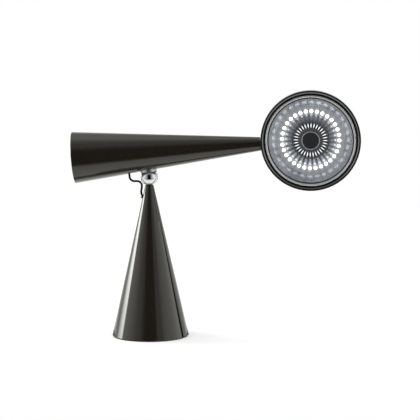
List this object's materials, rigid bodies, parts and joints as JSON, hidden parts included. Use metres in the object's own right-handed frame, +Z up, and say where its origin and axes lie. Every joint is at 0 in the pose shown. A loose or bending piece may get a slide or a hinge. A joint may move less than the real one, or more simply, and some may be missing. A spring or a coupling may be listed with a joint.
{
  "type": "task lamp",
  "caption": "Desk task lamp: round LED head on a tapered arm that turns and tilts on a chromed ball above a weighted cone base.",
  "frame": {"origin": "centre of the base's underside, where the lamp stands on the table", "axes": "+Z up, +X along the arm towards the head, and the lit face of the head looks along -Y at rest"},
  "size_m": [0.4912, 0.131, 0.4211],
  "materials": {
    "dark_lacquer": "gloss",
    "dark_anodised": "satin",
    "bright_aluminium": "satin",
    "reflector_aluminium": "satin",
    "chrome": "polished",
    "steel": "satin",
    "iron": "matte",
    "brass": "satin",
    "rubber": "matte",
    "black_plastic": "satin",
    "circuit_board": "satin",
    "white_board": "satin",
    "led_white": "gloss",
    "diffuser": "matte"
  },
  "bodies": {
    "base": {"base_cone": "dark_lacquer", "base_plate": "steel", "foot_pad": "rubber", "ballast": "iron", "plate_screws": "steel", "neck_bush": "brass", "lower_grommet": "rubber", "power_inlet": "black_plastic", "inlet_nut": "steel", "driver_board": "circuit_board", "board_screws": "steel", "link_lead": "rubber"},
    "ball": {"ball_stud": "chrome", "stud_washer": "steel", "stud_nut": "steel"},
    "arm": {"arm_cone": "dark_lacquer", "end_cap": "dark_lacquer", "cap_screw": "steel", "counterweight": "iron", "socket_ring": "chrome", "socket_cup": "black_plastic", "magnet": "steel", "magnet_nut": "steel", "saddle_block": "bright_aluminium", "upper_grommet": "rubber", "tip_plug": "brass", "tip_collar": "bright_aluminium"},
    "head": {"swivel_spindle": "steel", "spindle_washer": "steel", "spindle_nut": "steel", "head_shell": "dark_lacquer", "bezel_ring": "dark_lacquer", "trim_ring": "bright_aluminium", "trim_screws": "steel", "reflector": "reflector_aluminium", "led_board": "white_board", "leds": "led_white", "led_domes": "led_white", "heat_plate": "bright_aluminium", "hub": "dark_anodised", "hub_diffuser": "diffuser", "button_ring": "chrome", "switch_body": "black_plastic", "back_cover": "dark_lacquer", "cover_screws": "steel"},
    "button": {"push_button": "dark_anodised"}
  },
  "joints": [
    {"name": "ball_swivel", "type": "hinge", "parent": "base", "child": "ball", "pos_m": [0, 0, 0.2735], "axis": [0, 0, 1], "range_deg": [-45, 45], "deforming": ["link_lead"]},
    {"name": "ball_tilt", "type": "hinge", "parent": "ball", "child": "arm", "pos_m": [0, 0, 0.2735], "axis": [0, 1, 0], "range_deg": [-30, 25], "deforming": ["link_lead"]},
    {"name": "head_swivel", "type": "hinge", "parent": "arm", "child": "head", "pos_m": [0.27443, 0, 0.33636], "axis": [0.9973, 0, 0.0732], "range_deg": [-165, 165]},
    {"name": "button_press", "type": "slide", "parent": "head", "child": "button", "axis": [0, 1, 0], "range_m": [0, 0.0015], "stiffness_N_per_m": 300, "springref_m": -0.0005}
  ]
}
